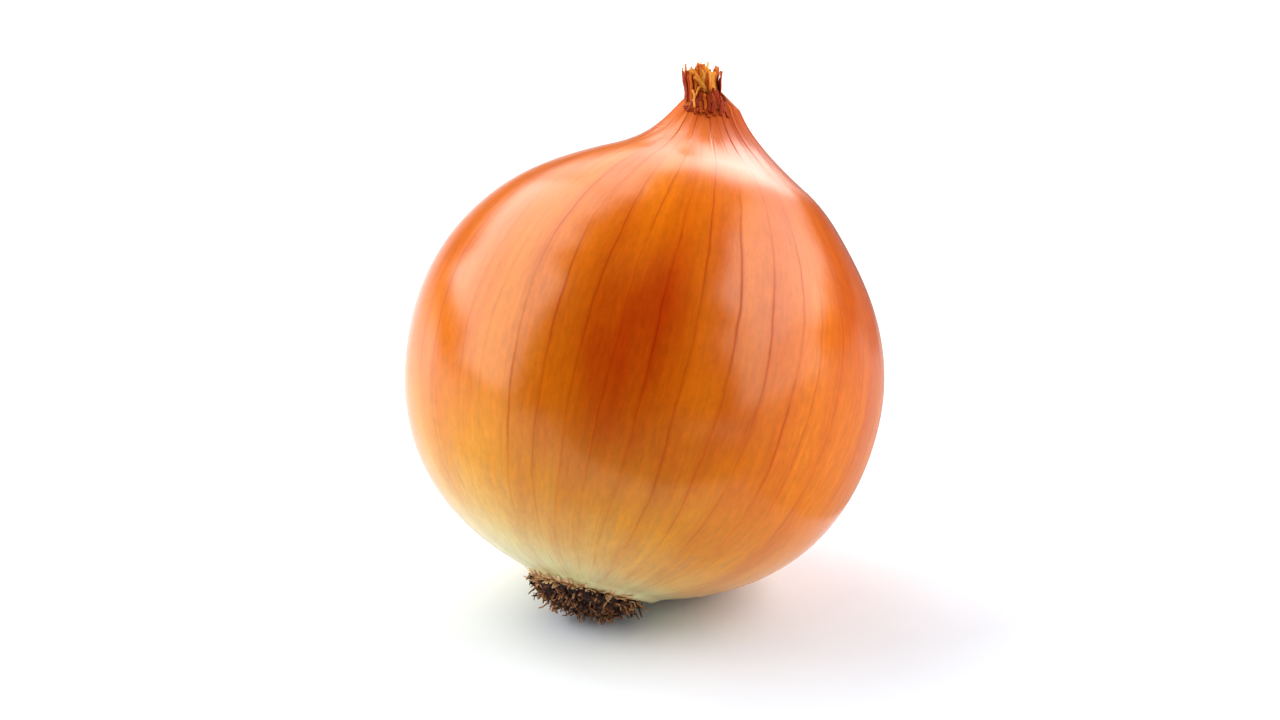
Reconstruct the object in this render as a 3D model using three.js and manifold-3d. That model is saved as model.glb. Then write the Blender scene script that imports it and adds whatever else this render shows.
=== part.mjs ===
// A cured brown onion, whole and in its skin, leaning over as a loose onion does on a table.
//
// Three pieces make it up: the bulb in its dry outer skin, the tuft of dry torn leaf stubs at the neck,
// and the basal plate with its mat of short dry roots.
//
// Millimetres, +Z up. Each piece is first thought of upright, with its own axis along +Z and the rim of
// the root plate at height 0. The whole onion then leans over until it lies on its lower flank, where it
// has a small flat spot. The origin is in the middle of that spot.

import * as THREE from "three";
import { mergeVertices } from "three/addons/utils/BufferGeometryUtils.js";
import Module from "manifold-3d";

const wasm = await Module();
wasm.setup();

const TURN = 2 * Math.PI;
const GOLDEN_ANGLE = TURN * (1 - 2 / (1 + Math.sqrt(5)));
const degrees = THREE.MathUtils.degToRad;

// The bulb's outline as [radius, height]: a short lip at the root plate, then three curves, each with
// the two points that pull on it.
const ROOT_RIM = [9.8, 0];
const ROOT_LIP = [11.2, 0.9];
const UNDERSIDE_PULLS = [[11.2, 1.4], [38, 5.3]];
const EQUATOR = [38, 35.5];
const SHOULDER_PULLS = [[38, 55.9], [21, 66.7]];
const SHOULDER = [16.5, 69];
const NECK_PULLS = [[10.3, 72.2], [6.9, 75.6]];
const NECK = [4.6, 79.3];
const NECK_HEIGHT = NECK[1]; // where the skin ends and the torn leaves begin

// What keeps it from being a turned shape. Angles go round the upright axis, from +X towards +Y.
const SHOULDER_SWELL = 1.9; // how far the neck's foot is pushed towards the swollen side
const SHOULDER_SWELL_HEIGHT = 70;
const SHOULDER_SWELL_REACH = 4.4;
const SWOLLEN_SIDE = degrees(-2);
const FLANK_LOBES = [
  { count: 2, swell: 0.4 },
  { count: 3, swell: 0.25 },
];
const PLEATS = 18; // folds gathered into the neck
const PLEAT_DEPTH = 0.28;
const PLEATS_START = 62;
const SIDES_PER_PLEAT = 4;
const BULB_ROWS = 36;

// How it lies. The point of the flank that meets the table is given in the upright frame.
const LEAN = degrees(27.65);
const LEAN_SIDE = degrees(59);
const REST_RADIUS = 20.2;
const REST_HEIGHT = 4.8;

// The neck's rolled stub, and the torn leaf strips that stand round it or splay from its foot. A pair
// is the lowest and highest that a strip may get.
const NECK_GAP = 0.3;
const NECK_BEND = degrees(22);
const NECK_BEND_SIDE = degrees(178);
const STUB_LENGTH = 4;
const STUB_FOOT_RADIUS = 3.3;
const STUB_TOP_RADIUS = 1.9;
const STUB_SIDES = 12;
const STRIP_THICKNESS = 0.62;
const STRIP_STATIONS = [0, 0.35, 0.7, 1]; // shares of its length, with its width at each
const STRIP_TAPER = [1, 0.95, 0.8, 0.3];
const STANDING_STRIPS = {
  count: 18,
  stray: 0.25, // off its even place, as a share of the spacing
  innerEvery: 3, // every third one stands further in and reaches higher
  innerInset: 0.9,
  innerRise: 0.36,
  topOut: [0, 0.7],
  extraLength: [0, 1.3],
  footUp: [0.15, 0.7],
  width: [1.1, 1.9],
  twist: [-0.3, 0.3],
};
const SPLAYED_STRIPS = {
  count: 9,
  stray: 0.3,
  inset: 0.6,
  topOut: [0.7, 1.5],
  footUp: [0.2, 0.8],
  length: [0.8, 2],
  width: [0.9, 1.5],
};

// The basal plate, a low dome, and the roots on it.
const ROOT_GAP = 0.3;
const PLATE_RADIUS = 8.7;
const PLATE_EDGE = 0.9;
const PLATE_BULGE = 1.6;
const PLATE_SHIFT = 0.9; // the plate sits a little off the bulb's axis, away from the swollen side
const PLATE_SIDES = 36;
const PLATE_RINGS = [0.3, 0.6, 0.85, 1];
const ROOT_COUNT = 150;
const ROOT_THICKNESS = 0.85;
const ROOT_SINK = 0.7;
const ROOT_SIDES = 3;
const ROOT_TAPER = [1, 0.85, 0.5];
const ROOT_FIELD = 0.98; // share of the plate's radius that roots grow on
const ROOT_SPLAY = [degrees(6), degrees(52)]; // at the middle and at the plate's edge
const ROOT_SPLAY_STRAY = degrees(12);
const ROOT_AIM_STRAY = 0.7;
const ROOT_LENGTH = [2.4, 1]; // at the middle and at the plate's edge
const ROOT_LENGTH_SHARE = [0.75, 1.2];
const ROOT_CURL = 0.25;

const SLIVER = 0.02; // detail finer than this is dropped where bodies are joined
const SAME_POINT = 1e-4;

const SKIN = { color: 0xc8641e, roughness: 0.35, metalness: 0 };
const DRY_LEAF = { color: 0x9a4a1c, roughness: 0.8, metalness: 0 };
const DRY_ROOT = { color: 0x5a3218, roughness: 0.9, metalness: 0 };

// Numbers between low and high that look random but are the same on every run.
function seededDraw(seed) {
  let state = seed;
  return (low, high) => {
    state = (state + 0x6d2b79f5) | 0;
    let mixed = Math.imul(state ^ (state >>> 15), 1 | state);
    mixed = (mixed + Math.imul(mixed ^ (mixed >>> 7), 61 | mixed)) ^ mixed;
    return low + (high - low) * (((mixed ^ (mixed >>> 14)) >>> 0) / 2 ** 32);
  };
}

function aroundAxis(radius, side, height) {
  return new THREE.Vector3(radius * Math.cos(side), radius * Math.sin(side), height);
}

const hingeLine = aroundAxis(1, LEAN_SIDE + TURN / 4, 0);
const leanTurn = new THREE.Quaternion().setFromAxisAngle(hingeLine, LEAN);
const restPoint = aroundAxis(REST_RADIUS, LEAN_SIDE, REST_HEIGHT).applyQuaternion(leanTurn);

// Where a point of the upright onion lies once it leans, no lower than a given height over the table.
function layDown(point, lowest = 0) {
  const placed = point.clone().applyQuaternion(leanTurn).sub(restPoint);
  placed.z = Math.max(placed.z, lowest);
  return placed;
}

// The outline, and a point of the skin that stands out from the axis as far as the outline says there.
const outline = new THREE.Path()
  .moveTo(...ROOT_RIM)
  .lineTo(...ROOT_LIP)
  .bezierCurveTo(...UNDERSIDE_PULLS.flat(), ...EQUATOR)
  .bezierCurveTo(...SHOULDER_PULLS.flat(), ...SHOULDER)
  .bezierCurveTo(...NECK_PULLS.flat(), ...NECK);

function bulbPoint(radius, height, side) {
  const up = height / NECK_HEIGHT;
  let reach = radius;
  for (const { count, swell } of FLANK_LOBES) {
    reach += swell * Math.sin(Math.PI * up) * Math.sin(count * (side - SWOLLEN_SIDE));
  }
  const gathered = THREE.MathUtils.smoothstep(height, PLEATS_START, NECK_HEIGHT);
  reach += PLEAT_DEPTH * gathered * Math.cos(PLEATS * side);
  const fromSwell = (height - SHOULDER_SWELL_HEIGHT) / SHOULDER_SWELL_REACH;
  const swollen = SHOULDER_SWELL * Math.exp(-(fromSwell ** 2) / 2);
  return aroundAxis(reach, side, height).add(aroundAxis(swollen, SWOLLEN_SIDE, 0));
}

// A closed surface through rings of points, each ring seen from above running anticlockwise and the
// rings going up. The middle of the first and the last ring closes its end.
function closedSkin(rings) {
  const sides = rings[0].length;
  const middle = (ring) =>
    ring.reduce((sum, p) => sum.add(p), new THREE.Vector3()).divideScalar(sides);
  const points = [...rings.flat(), middle(rings[0]), middle(rings.at(-1))];
  const lowEnd = points.length - 2;
  const highEnd = points.length - 1;
  const lastRow = (rings.length - 1) * sides;
  const faces = [];
  for (let i = 0; i < sides; i++) {
    const next = (i + 1) % sides;
    faces.push(lowEnd, next, i, highEnd, lastRow + i, lastRow + next);
    for (let row = 0; row < lastRow; row += sides) {
      faces.push(row + i, row + next, row + sides + next);
      faces.push(row + i, row + sides + next, row + sides + i);
    }
  }
  const geometry = new THREE.BufferGeometry().setFromPoints(points);
  geometry.setIndex(faces);
  return geometry;
}

function solidFrom(geometry) {
  const bare = new THREE.BufferGeometry();
  bare.setAttribute("position", geometry.getAttribute("position"));
  bare.setIndex(geometry.index);
  const merged = mergeVertices(bare, SAME_POINT);
  return new wasm.Manifold(
    new wasm.Mesh({
      numProp: 3,
      vertProperties: merged.attributes.position.array,
      triVerts: new Uint32Array(merged.index.array),
    }),
  );
}

// Joins bodies into one and fills the pockets that crossing strips close off between them.
function fuse(geometries) {
  const joined = geometries.map(solidFrom).reduce((whole, body) => whole.add(body));
  const shells = joined.asOriginal().simplify(SLIVER).decompose();
  const mesh = wasm.Manifold.compose(shells.filter((shell) => shell.volume() > 0)).getMesh();
  const geometry = new THREE.BufferGeometry();
  geometry.setAttribute("position", new THREE.BufferAttribute(mesh.vertProperties, 3));
  geometry.setIndex(new THREE.BufferAttribute(mesh.triVerts, 1));
  return geometry;
}

function piece(name, geometry, finish) {
  geometry.computeVertexNormals();
  const mesh = new THREE.Mesh(geometry, new THREE.MeshStandardMaterial(finish));
  mesh.name = name;
  return mesh;
}

// The bulb: rings of skin spaced evenly along the outline, and flat where it lies on the table.
function makeBulb() {
  const sides = PLEATS * SIDES_PER_PLEAT;
  const rings = outline.getSpacedPoints(BULB_ROWS).map(({ x: radius, y: height }) =>
    Array.from({ length: sides }, (_, i) => layDown(bulbPoint(radius, height, (TURN * i) / sides))),
  );
  return piece("bulb", closedSkin(rings), SKIN);
}

// A strip or root: a thin closed body that follows a path, thinning as shares says. Its section lies
// across the path, with its width along one given direction.
function taperedBody(path, widthWay, width, thickness, shares, sides) {
  const curve = new THREE.CatmullRomCurve3(path);
  return shares.map((share, i) => {
    const u = i / (shares.length - 1);
    const centre = curve.getPoint(u);
    const along = curve.getTangent(u);
    const thickWay = new THREE.Vector3().crossVectors(along, widthWay).normalize();
    const wideWay = new THREE.Vector3().crossVectors(thickWay, along).normalize();
    return Array.from({ length: sides }, (_, corner) => {
      const angle = (TURN * (corner + 0.5)) / sides;
      return centre
        .clone()
        .addScaledVector(wideWay, (width * share * Math.cos(angle)) / Math.SQRT2)
        .addScaledVector(thickWay, (thickness * Math.sin(angle)) / Math.SQRT2);
    });
  });
}

// The neck: a short stub of rolled dry leaves with torn strips standing round it and a frayed foot.
function bendNeck(point) {
  const foot = new THREE.Vector3(0, 0, NECK_HEIGHT);
  const hinge = aroundAxis(1, NECK_BEND_SIDE + TURN / 4, 0);
  const share = Math.min(Math.max((point.z - NECK_HEIGHT) / STUB_LENGTH, 0), 1);
  return point.clone().sub(foot).applyAxisAngle(hinge, NECK_BEND * share).add(foot);
}

function leafStrip({ side, footRadius, topRadius, footUp, length, width, twist = 0 }) {
  const tangent = aroundAxis(1, side + TURN / 4 + twist, 0);
  const foot = NECK_HEIGHT + NECK_GAP + footUp;
  const path = STRIP_STATIONS.map((u) => {
    const radius = THREE.MathUtils.lerp(footRadius, topRadius, u);
    return bendNeck(aroundAxis(radius, side + twist * u, foot + length * u));
  });
  return closedSkin(taperedBody(path, tangent, width, STRIP_THICKNESS, STRIP_TAPER, 4));
}

function makeStub() {
  const rings = [0, 0.5, 1].map((u) =>
    Array.from({ length: STUB_SIDES }, (_, i) => {
      const radius = THREE.MathUtils.lerp(STUB_FOOT_RADIUS, STUB_TOP_RADIUS, u);
      const height = NECK_HEIGHT + NECK_GAP + STUB_LENGTH * u;
      return bendNeck(aroundAxis(radius, (TURN * i) / STUB_SIDES, height));
    }),
  );
  return closedSkin(rings);
}

function standingStrip(i, draw) {
  const { count, stray, innerEvery, innerInset, innerRise } = STANDING_STRIPS;
  const inner = i % innerEvery === 0;
  const inset = inner ? innerInset : 0;
  return leafStrip({
    side: (TURN * (i + draw(-stray, stray))) / count,
    footRadius: STUB_FOOT_RADIUS - inset,
    topRadius: STUB_TOP_RADIUS - inset + draw(...STANDING_STRIPS.topOut),
    length: STUB_LENGTH + draw(...STANDING_STRIPS.extraLength) + (inner ? innerRise : 0),
    footUp: draw(...STANDING_STRIPS.footUp),
    width: draw(...STANDING_STRIPS.width),
    twist: draw(...STANDING_STRIPS.twist),
  });
}

function splayedStrip(i, draw) {
  const { count, stray, inset } = SPLAYED_STRIPS;
  return leafStrip({
    side: (TURN * (i + draw(-stray, stray))) / count,
    footRadius: STUB_FOOT_RADIUS - inset,
    topRadius: STUB_FOOT_RADIUS + draw(...SPLAYED_STRIPS.topOut),
    footUp: draw(...SPLAYED_STRIPS.footUp),
    length: draw(...SPLAYED_STRIPS.length),
    width: draw(...SPLAYED_STRIPS.width),
  });
}

function makeNeck() {
  const draw = seededDraw(12);
  const standing = Array.from({ length: STANDING_STRIPS.count }, (_, i) => standingStrip(i, draw));
  const splayed = Array.from({ length: SPLAYED_STRIPS.count }, (_, i) => splayedStrip(i, draw));
  const neck = piece("neck", fuse([makeStub(), ...standing, ...splayed]), DRY_LEAF);
  neck.quaternion.copy(leanTurn);
  neck.position.copy(restPoint).negate();
  return neck;
}

// The roots: a low dome under the bulb, bristling with short dry roots that splay where they meet
// the table.
function plateDepth(radius) {
  return ROOT_GAP + PLATE_EDGE + PLATE_BULGE * (1 - (radius / PLATE_RADIUS) ** 2);
}

function plateCentre() {
  return aroundAxis(-PLATE_SHIFT, SWOLLEN_SIDE, 0);
}

function makePlate() {
  const ring = (radius, height) =>
    Array.from({ length: PLATE_SIDES }, (_, i) =>
      layDown(aroundAxis(radius, (TURN * i) / PLATE_SIDES, height).add(plateCentre())),
    );
  const dome = PLATE_RINGS.map((share) =>
    ring(PLATE_RADIUS * share, -plateDepth(PLATE_RADIUS * share)),
  );
  return closedSkin([...dome, ring(PLATE_RADIUS, -ROOT_GAP)]);
}

function dryRoot(index, draw) {
  const share = (index + 0.5) / ROOT_COUNT;
  const radius = PLATE_RADIUS * Math.sqrt(share) * ROOT_FIELD;
  const side = index * GOLDEN_ANGLE;
  const splay = THREE.MathUtils.lerp(...ROOT_SPLAY, share) + draw(-ROOT_SPLAY_STRAY, ROOT_SPLAY_STRAY);
  const aimSide = side + draw(-ROOT_AIM_STRAY, ROOT_AIM_STRAY);
  const aim = aroundAxis(Math.sin(splay), aimSide, -Math.cos(splay));
  const curl = new THREE.Vector3(draw(-1, 1), draw(-1, 1), draw(-1, 0)).multiplyScalar(ROOT_CURL);
  const length = THREE.MathUtils.lerp(...ROOT_LENGTH, share) * draw(...ROOT_LENGTH_SHARE);
  const base = aroundAxis(radius, side, -plateDepth(radius)).add(plateCentre());
  const path = [-ROOT_SINK / length, 0.5, 1].map((u) => {
    const point = base.clone().addScaledVector(aim, length * u);
    return layDown(point.addScaledVector(curl, length * u * u), ROOT_THICKNESS / 2);
  });
  const sideways = aroundAxis(1, side + TURN / 5, 0.4);
  const across = new THREE.Vector3().crossVectors(aim, sideways);
  const rings = taperedBody(path, across, ROOT_THICKNESS, ROOT_THICKNESS, ROOT_TAPER, ROOT_SIDES);
  for (const point of rings.flat()) point.z = Math.max(point.z, 0);
  return closedSkin(rings);
}

function makeRoots() {
  const draw = seededDraw(29);
  const roots = Array.from({ length: ROOT_COUNT }, (_, i) => dryRoot(i, draw));
  return piece("roots", fuse([makePlate(), ...roots]), DRY_ROOT);
}

const onion = new THREE.Group();
onion.name = "onion";
onion.add(makeBulb(), makeNeck(), makeRoots());

export default onion;
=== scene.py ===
# %% [markdown]
# A brown onion, lying on its side
#
# We dress a plain solid onion until it looks like the real one: dry skin with veins, a torn neck, a
# mat of dry roots. The solid fixes the size and the place. All we add has to stay with it.
#
# This first cell loads the solid.

# %% Load the solid onion
import math

import bmesh
import bpy
import numpy as np
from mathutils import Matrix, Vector


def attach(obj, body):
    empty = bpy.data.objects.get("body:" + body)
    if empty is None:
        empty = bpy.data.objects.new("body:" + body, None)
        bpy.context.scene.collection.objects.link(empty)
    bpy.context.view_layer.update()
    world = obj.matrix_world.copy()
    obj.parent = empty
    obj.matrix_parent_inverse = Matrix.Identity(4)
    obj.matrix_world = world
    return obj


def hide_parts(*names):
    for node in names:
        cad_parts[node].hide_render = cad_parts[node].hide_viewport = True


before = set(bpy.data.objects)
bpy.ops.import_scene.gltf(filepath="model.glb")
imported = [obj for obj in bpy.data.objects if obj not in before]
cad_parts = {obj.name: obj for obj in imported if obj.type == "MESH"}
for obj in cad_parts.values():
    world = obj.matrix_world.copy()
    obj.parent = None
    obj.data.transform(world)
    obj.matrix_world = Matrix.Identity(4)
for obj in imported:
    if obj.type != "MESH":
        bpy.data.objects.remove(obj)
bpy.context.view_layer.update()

# %% [markdown]
# How the onion lies
#
# It is easiest to think of an onion standing upright, with the rim of its root plate at height 0 and
# its axis along +Z. Then the whole thing leans over until it lies on its flank. All shapes below are
# made upright, in millimetres, and one function lays them down and turns them into metres. It also
# presses flat whatever would reach below the table.

# %% Lay an upright shape down
MM = 0.001
LEAN = math.radians(27.65)
LEAN_SIDE = math.radians(59)
REST_OUT, REST_UP = 20.2, 4.8  # where the flank touches the table, in mm from the axis and the rim
REST_POINT = (REST_OUT * math.cos(LEAN_SIDE), REST_OUT * math.sin(LEAN_SIDE), REST_UP)
BULB_MIDDLE = (0, 0, 36.2)


def turned(points, axis, angle):
    """The points turned about an axis through the origin, by an angle or by one angle each."""
    axis = np.array(axis, float)
    angle = np.broadcast_to(angle, points.shape[:-1])[..., None]
    across = np.cross(axis, points)
    along = (points @ axis)[..., None] * axis
    return points * np.cos(angle) + across * np.sin(angle) + along * (1 - np.cos(angle))


def lay_down(points):
    """Upright millimetres to the table's metres."""
    hinge = (-math.sin(LEAN_SIDE), math.cos(LEAN_SIDE), 0)
    rest = turned(np.array([REST_POINT]), hinge, LEAN)
    placed = (turned(np.asarray(points, float), hinge, LEAN) - rest) * MM
    placed[..., 2] = np.maximum(placed[..., 2], 0)
    return placed


print("the bulb's middle lies at, in mm:", (lay_down([BULB_MIDDLE])[0] / MM).round(1))

# %% [markdown]
# The outline
#
# A real onion isn't a ball: the underside is flatter, the shoulder is round, and above it the skin
# sweeps in to a thin neck. One could push a sphere about by hand. Here the outline is drawn instead,
# with the same few curves as the solid, and measured off in even steps along its length. A place on
# the skin is then two numbers: how far along the outline it is, 0 at the roots and 1 at the neck, and
# the side, an angle round the axis.

# %% Draw the outline
WIDEST = 38  # the largest radius in mm
SKIN_TOP = 79.3  # the height in mm where the skin ends


def bezier(start, pull, other_pull, end, steps=300):
    """Points on a curve that leaves its start towards one pull and reaches its end from the other."""
    u = np.linspace(0, 1, steps)[:, None]
    near, far = np.array([start, pull], float), np.array([other_pull, end], float)
    return ((1 - u) ** 3 * near[0] + 3 * u * (1 - u) ** 2 * near[1]
            + 3 * u**2 * (1 - u) * far[0] + u**3 * far[1])


outline = np.vstack([
    [[9.8, 0]],  # radius and height at the root rim
    bezier([11.2, 0.9], [11.2, 1.4], [WIDEST, 5.3], [WIDEST, 35.5]),
    bezier([WIDEST, 35.5], [WIDEST, 55.9], [21, 66.7], [16.5, 69])[1:],
    bezier([16.5, 69], [10.3, 72.2], [6.9, 75.6], [4.6, SKIN_TOP])[1:],
])
outline_run = np.r_[0, np.cumsum(np.linalg.norm(np.diff(outline, axis=0), axis=1))]
SKIN_LENGTH = outline_run[-1]


def on_outline(along):
    """Radius and height at a share of the outline's length."""
    run = np.asarray(along) * SKIN_LENGTH
    return np.interp(run, outline_run, outline[:, 0]), np.interp(run, outline_run, outline[:, 1])


print("the skin runs", round(SKIN_LENGTH, 1), "mm from roots to neck")

# %% [markdown]
# Where the veins run
#
# The veins of a dry onion leaf run from the roots to the neck like the lines on a globe, about 8
# degrees apart, and never quite evenly. A striped texture could draw them, but then none could be
# placed or raised. So each has a side of its own: the ones that the photograph shows are set down one
# by one, and the rest follow by a seeded rule. Towards the neck they all swing a little to one side.

# %% Place the veins
rng = np.random.default_rng(7)
SEEN_VEINS = [-152.4, -140, -132.8, -124.6, -116.5, -109, -101.2, -93.2, -84.6, -74.9, -65.5, -56,
              -49.2, -40.5, -32.6, -24.6]  # degrees round the axis
SEEN_STRENGTH = [0.6, 0.4, 0.3, 0.9, 0.9, 0.8, 0.7, 0.9, 0.9, 1, 0.8, 0.85, 0.55, 0.6, 0.5, 0.45]
VEINS = 44
VEINS_TURN = 0.9  # degrees that turn the seen veins to where the photograph has them
NECK_SWING, ROOT_SWING = -12, -2  # degrees
unseen = np.linspace(SEEN_VEINS[-1], SEEN_VEINS[0] + 360, VEINS - len(SEEN_VEINS) + 2)[1:-1]
unseen = unseen + rng.uniform(-1.6, 1.6, len(unseen))
vein_side = np.radians(np.r_[SEEN_VEINS, unseen] + VEINS_TURN)
vein_strength = np.r_[SEEN_STRENGTH, rng.uniform(0.3, 0.95, len(unseen))]


def smooth(low, high, x):
    """0 below low, 1 above high and a soft step between."""
    t = np.clip((x - low) / (high - low), 0, 1)
    return t * t * (3 - 2 * t)


def vein_wander(along):
    """How far each vein strays from its own side, in radians: one row for each vein."""
    phase = np.random.default_rng(3).uniform(0, 2 * math.pi, (VEINS, 5))
    wave_counts = np.array([1.2, 2.7, 5.3, 13, 23])
    size = np.radians([0.45, 0.3, 0.16, 0.07, 0.05])
    waves = size * np.sin(2 * math.pi * wave_counts * along[:, None, None] + phase)
    swing = NECK_SWING * smooth(0.72, 1, along) + ROOT_SWING * smooth(0.3, 0, along)
    return waves.sum(-1).T + np.radians(swing)


print(VEINS, "veins, about", round(2 * math.pi * WIDEST / VEINS, 1), "mm apart at the widest part")

# %% [markdown]
# The skin's shape
#
# The skin is one closed sheet. It could be sculpted, but each of its forms follows a rule, so one
# function can say where any place on it lies. It starts from the outline. Two lobes and shallow waves
# make the bulb a little uneven, and below the neck it swells to one side. Towards the neck the skin
# gathers in folds, and there each vein turns from a fine ridge into a crease.

# %% Shape one place on the skin
SWOLLEN_SIDE = math.radians(-2)
SWELL, SWELL_HEIGHT, SWELL_SPREAD = 1.9, 70, 4.4  # mm
LOBES = (0.4, 0.25)  # mm
PLEATS = 18
VEIN_HEIGHT = 0.006  # mm
CREASE_DEPTH = 0.13  # mm
RIM_IN, RIM_UP, RIM_SHIFT = 0.7, 0.8, 0.55  # in, up and to -X, for each mm past the outline's end


def side_waves(side, counts, size, seed):
    """Waves of random phase round the axis, which meet themselves after a full turn."""
    phases = np.random.default_rng(seed).uniform(0, 2 * math.pi, len(counts))
    return size * sum(np.sin(n * side + p) for n, p in zip(counts, phases)) / math.sqrt(len(counts))


def neck_swell(height):
    """How far the skin at a height is pushed towards the swollen side, in mm."""
    return SWELL * np.exp(-(((height - SWELL_HEIGHT) / SWELL_SPREAD) ** 2) / 2)


def skin_point(side, along, vein):
    """Upright points in mm. vein is how far up the vein's ridge each point is."""
    radius, height = on_outline(along)
    beyond = np.maximum(along - 1, 0) * SKIN_LENGTH
    radius, height = radius - RIM_IN * beyond, height + RIM_UP * beyond
    up = np.minimum(height / SKIN_TOP, 1)
    from_swell = side - SWOLLEN_SIDE
    lobes = LOBES[0] * np.sin(2 * from_swell) + LOBES[1] * np.sin(3 * from_swell)
    radius = radius + np.sin(math.pi * up) * lobes
    uneven = side_waves(side, [5, 7, 9, 13], 0.1, 1) * np.sin(2.2 * math.pi * along + 1.3)
    uneven = uneven + side_waves(side, [11, 17, 23], 0.045, 2) * np.cos(5 * math.pi * along)
    radius = radius + np.sin(math.pi * up) * uneven
    gathered = smooth(62, SKIN_TOP, height)
    folds = 0.03 * np.cos(PLEATS * side) + side_waves(side, [7, 11, 26, 31], 0.07, 5)
    crease = smooth(66, 73, height)
    relief = VEIN_HEIGHT * smooth(0, 0.12, along) * (1 - crease) - CREASE_DEPTH * crease
    radius = radius + gathered * folds + relief * vein
    swell = neck_swell(height)
    return np.stack([radius * np.cos(side) + swell * math.cos(SWOLLEN_SIDE) - RIM_SHIFT * beyond,
                     radius * np.sin(side) + swell * math.sin(SWOLLEN_SIDE), height], -1)


widest_point = skin_point(math.pi, 0.5, 0)
print("half way along its left side the skin is, in mm, at", widest_point.round(1))

# %% [markdown]
# From points to a mesh
#
# Blender makes a mesh from a list of points and a list of faces, which suits a shape that a rule
# gives. A mesh can also keep a number for each of its points, called an attribute. A material reads
# it later, and that is how colour and shape agree here.

# %% Turn points and faces into an object
def new_object(name, points, faces, material=None):
    """A smooth-shaded mesh object whose place is in its mesh. Points are in metres."""
    mesh = bpy.data.meshes.new(name)
    mesh.from_pydata(points.reshape(-1, 3).tolist(), [], faces)
    mesh.shade_smooth()
    obj = bpy.data.objects.new(name, mesh)
    bpy.context.scene.collection.objects.link(obj)
    if material:
        mesh.materials.append(material)
    return obj


def store(mesh, name, values, kind="FLOAT"):
    """Keeps a number, or a vector, for each vertex, for the material to read."""
    key = "value" if kind == "FLOAT" else "vector"
    mesh.attributes.new(name, kind, "POINT").data.foreach_set(key, np.ravel(values).astype(np.float32))


# %% [markdown]
# The skin's grid
#
# The columns of the skin's grid follow the veins, and its rows run round. A vein is only a quarter of
# a millimetre wide, and even columns that fine would run to thousands. So the columns crowd together
# at each vein and lie far apart between two. Three lists say where the columns round one vein are,
# as shares of the way to the next, how high the ridge is there, and how dark.

# %% Lay out the skin's grid
SKIN_ROWS = 176
BESIDE_VEIN = np.array([-0.5, -0.3, -0.17, -0.09, -0.045, -0.02, 0, 0.02, 0.045, 0.09, 0.17, 0.3])
VEIN_RIDGE = np.array([0, 0, -0.15, -0.1, 0.3, 0.8, 1, 0.8, 0.3, -0.1, -0.15, 0])  # of VEIN_HEIGHT
VEIN_LINE = np.array([0, 0, 0.01, 0.06, 0.24, 0.72, 1, 0.72, 0.24, 0.06, 0.01, 0])  # how dark

along = np.linspace(0, 1, SKIN_ROWS)
sides = vein_side[:, None] + vein_wander(along)
sides = np.vstack([sides[-1] - 2 * math.pi, sides, sides[0] + 2 * math.pi])
order = np.arange(-1, VEINS + 1)
wanted = (np.arange(VEINS)[:, None] + BESIDE_VEIN).ravel()
side_grid = np.stack([np.interp(wanted, order, sides[:, row]) for row in range(SKIN_ROWS)], 1)
COLUMNS = len(wanted)
along_grid = np.broadcast_to(along, side_grid.shape)
print("the skin's grid has", COLUMNS, "columns and", SKIN_ROWS, "rows")

# %% [markdown]
# A vein isn't equally plain all the way. Some fade out on the shoulder, some only start there, and
# each ends as a short darker tick in the pale zone over the roots. Near the neck every other vein
# becomes a dark crease.

# %% Say how plain each vein is
fade_out = rng.uniform(0.68, 1.1, VEINS)[:, None]
patch_count = rng.uniform(1.5, 3.5, VEINS)[:, None]
patch_start = rng.uniform(0, 1, VEINS)[:, None]
tick_place = rng.uniform(0.075, 0.12, VEINS)[:, None]
tick_strength = rng.uniform(0.4, 1, VEINS)[:, None]
patchy = 0.75 + 0.25 * np.sin(2 * math.pi * (along * patch_count + patch_start))
plain = vein_strength[:, None] * patchy * (1 - 0.75 * smooth(-0.07, 0.07, along - fade_out))
tick = np.exp(-(((along - tick_place) / 0.022) ** 2))
plain = (plain * smooth(0.1, 0.24, along) * (0.6 + 0.4 * smooth(0.25, 0.42, along))
         + 0.6 * tick * tick_strength)
at_neck = smooth(0.86, 0.93, along)
plain = plain * (1 - at_neck) + np.where(np.arange(VEINS) % 2, 0.15, 0.9)[:, None] * at_neck
plain_grid = np.repeat(plain, len(BESIDE_VEIN), 0)
vein_grid = np.tile(VEIN_LINE, VEINS)[:, None] * plain_grid
ridge_grid = np.tile(VEIN_RIDGE, VEINS)[:, None] * plain_grid
print("halfway up, the veins are plain by", plain[:, SKIN_ROWS // 2].min().round(2), "to",
      plain[:, SKIN_ROWS // 2].max().round(2))

# %% [markdown]
# The torn rim
#
# At the neck the skin ends in a torn edge. A ragged mask in the material could fake it, but light
# would still catch a clean rim. So the last rows really move up and down along the skin: a table
# gives the broad rise and fall from side to side, and waves roughen it. One more row turns in as a
# lip, and a point inside each end closes the sheet.

# %% Tear the top edge and build the skin
RIM_SIDES = [0, 60, 180, 225, 246, 262, 290, 330, 360]  # degrees
RIM_RISE = [0.024, 0.012, -0.006, -0.01, -0.018, -0.014, 0.0, 0.018, 0.024]  # shares of the outline
LIP_NARROWS, LIP_DROP = 0.86, 0.5
ENDS = np.array([[0, 0, 2.5], [0, 0, 77.5]])  # mm

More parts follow.
